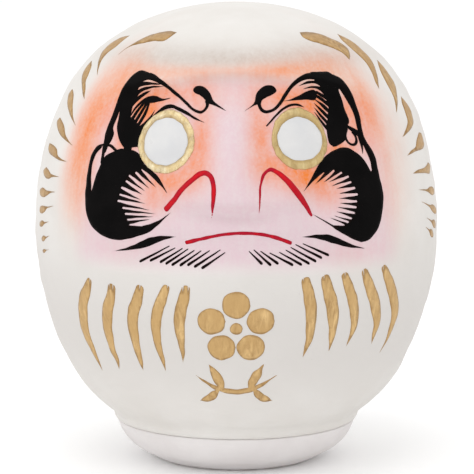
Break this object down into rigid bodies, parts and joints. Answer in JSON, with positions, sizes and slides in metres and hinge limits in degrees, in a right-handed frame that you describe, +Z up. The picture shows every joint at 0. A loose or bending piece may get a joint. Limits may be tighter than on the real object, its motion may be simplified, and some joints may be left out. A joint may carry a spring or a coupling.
{
  "type": "daruma doll",
  "caption": "Round weighted papier-mache daruma doll with a moulded face, brushed brows and beard, ringed blank eyes and gold strokes.",
  "frame": {"origin": "on the resting plane under the centre of the doll", "axes": "+Z up, the face looks along -Y, +X is the doll's own left"},
  "size_m": [0.155, 0.1562, 0.1764],
  "materials": {
    "paper_shell": "chalk-white brushed ground over papier-mache, matt",
    "seam_paper": "painted paper strip, matt",
    "base_clay": "unfired clay under the same chalk-white ground, matt",
    "glue": "dried glue, dull",
    "gold_paint": "brushed metallic gold paint, satin",
    "ring_paint": "thick raised metallic gold paint, satin",
    "eye_white": "smooth white paint, satin",
    "black_ink": "brushed black paint, satin",
    "red_paint": "brushed red paint, satin"
  },
  "bodies": {
    "root": {"paper_shell": "paper_shell", "back_seam_strip": "seam_paper", "base_weight": "base_clay", "base_glue_bead": "glue", "eye_ring_right": "ring_paint", "eye_white_right": "eye_white", "eyebrow_right": "black_ink", "beard_right": "black_ink", "moustache_right": "black_ink", "chin_whiskers_right": "black_ink", "nostril_line_right": "red_paint", "chest_strokes_right": "gold_paint", "temple_strokes_right": "gold_paint", "eye_ring_left": "ring_paint", "eye_white_left": "eye_white", "eyebrow_left": "black_ink", "beard_left": "black_ink", "moustache_left": "black_ink", "chin_whiskers_left": "black_ink", "nostril_line_left": "red_paint", "chest_strokes_left": "gold_paint", "temple_strokes_left": "gold_paint", "mouth_line": "red_paint", "chest_emblem": "gold_paint"}
  },
  "joints": []
}
